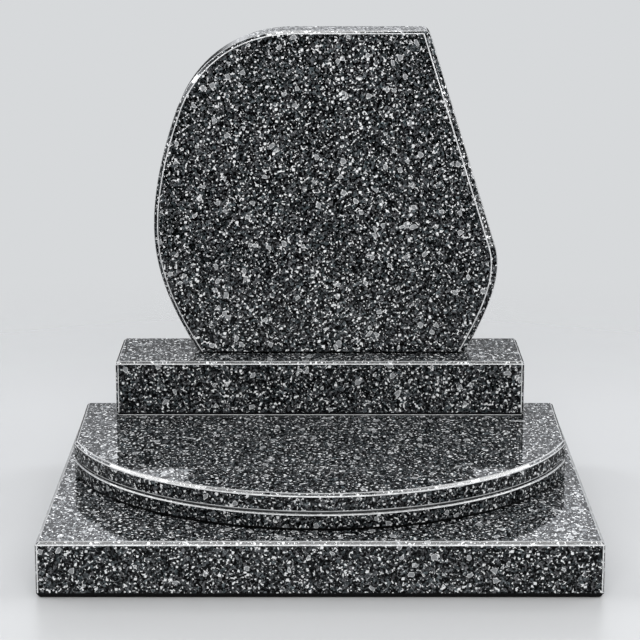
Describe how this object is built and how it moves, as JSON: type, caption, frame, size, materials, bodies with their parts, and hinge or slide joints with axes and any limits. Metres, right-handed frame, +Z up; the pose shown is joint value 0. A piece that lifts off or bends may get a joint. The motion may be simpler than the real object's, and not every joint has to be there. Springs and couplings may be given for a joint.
{
  "type": "urn memorial",
  "caption": "Small granite urn memorial: flat base slab, round-fronted cover slabs, long plinth and an upright blank headstone with a curved side and a slanted side.",
  "frame": {"origin": "middle of the base slab's underside", "axes": "+Z up, -Y to the front where the round edge and the blank face look, +X to the right seen from the front"},
  "size_m": [0.6, 0.5, 0.558],
  "materials": {
    "polished_granite": "polished dark grey granite with black, mid grey and pale grains"
  },
  "bodies": {
    "root": {"base_slab": "polished_granite", "lower_cover_slab": "polished_granite", "upper_cover_slab": "polished_granite", "plinth": "polished_granite", "headstone": "polished_granite"}
  },
  "joints": []
}
